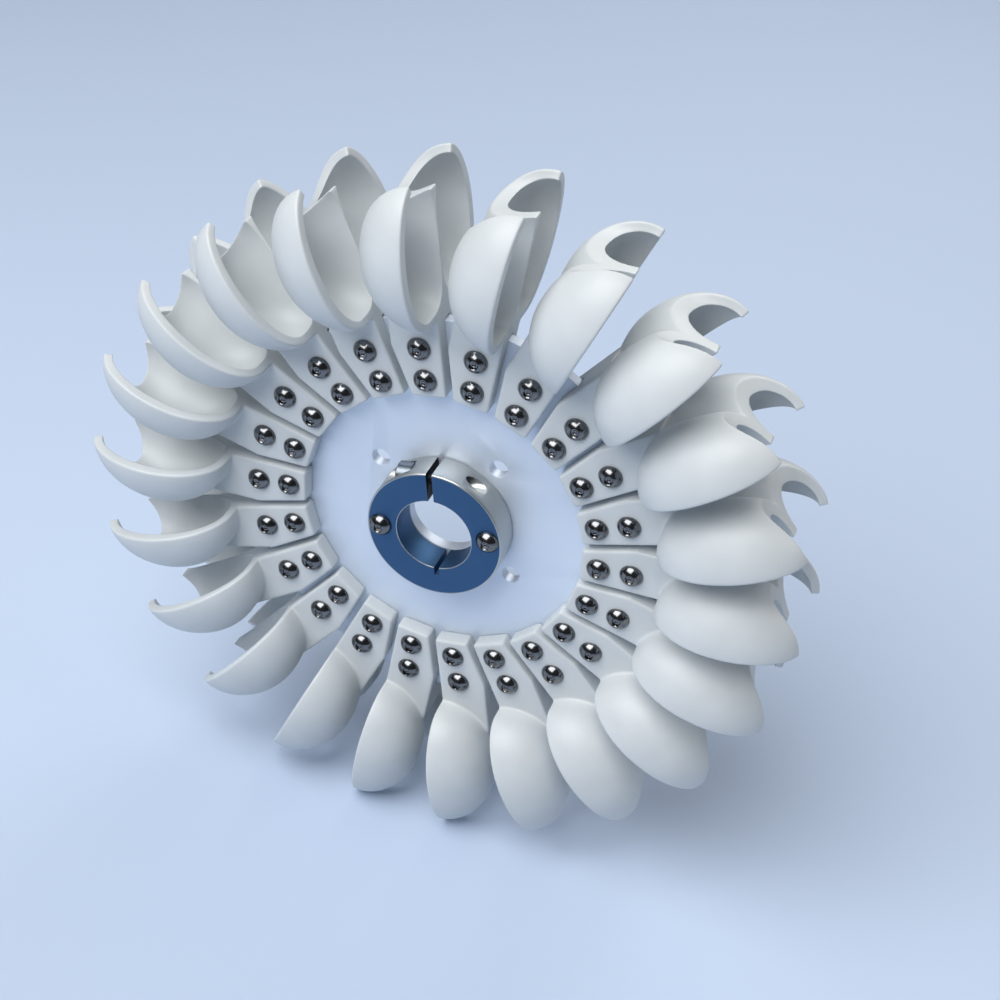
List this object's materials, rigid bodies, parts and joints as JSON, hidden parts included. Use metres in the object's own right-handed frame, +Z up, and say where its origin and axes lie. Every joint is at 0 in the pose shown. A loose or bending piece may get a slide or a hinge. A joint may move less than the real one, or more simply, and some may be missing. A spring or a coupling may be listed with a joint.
{
  "type": "pelton wheel",
  "caption": "Small bolted Pelton runner with double-cup buckets on a thin disc and a split shaft collar.",
  "frame": {"origin": "centre of the wheel, on its axis and in the disc's middle plane", "axes": "+Y along the spinning axis, away from the shaft collar; +Z up; +X to the right seen from the collar"},
  "size_m": [0.236, 0.0556, 0.2336],
  "materials": {
    "bucket_moulding": "smooth matt light grey moulding",
    "disc_satin": "satin rolled sheet",
    "collar_steel": "fine turned and polished",
    "screw_steel": "bright polished"
  },
  "bodies": {
    "root": {"bucket_01": "bucket_moulding", "bucket_02": "bucket_moulding", "bucket_03": "bucket_moulding", "bucket_04": "bucket_moulding", "bucket_05": "bucket_moulding", "bucket_06": "bucket_moulding", "bucket_07": "bucket_moulding", "bucket_08": "bucket_moulding", "bucket_09": "bucket_moulding", "bucket_10": "bucket_moulding", "bucket_11": "bucket_moulding", "bucket_12": "bucket_moulding", "bucket_13": "bucket_moulding", "bucket_14": "bucket_moulding", "bucket_15": "bucket_moulding", "bucket_16": "bucket_moulding", "bucket_17": "bucket_moulding", "bucket_18": "bucket_moulding", "bucket_19": "bucket_moulding", "bucket_20": "bucket_moulding", "bucket_21": "bucket_moulding", "bucket_22": "bucket_moulding", "wheel_disc": "disc_satin", "collar": "collar_steel", "collar_clamp_screw": "screw_steel", "collar_screw_left": "screw_steel", "collar_screw_right": "screw_steel"}
  },
  "joints": []
}
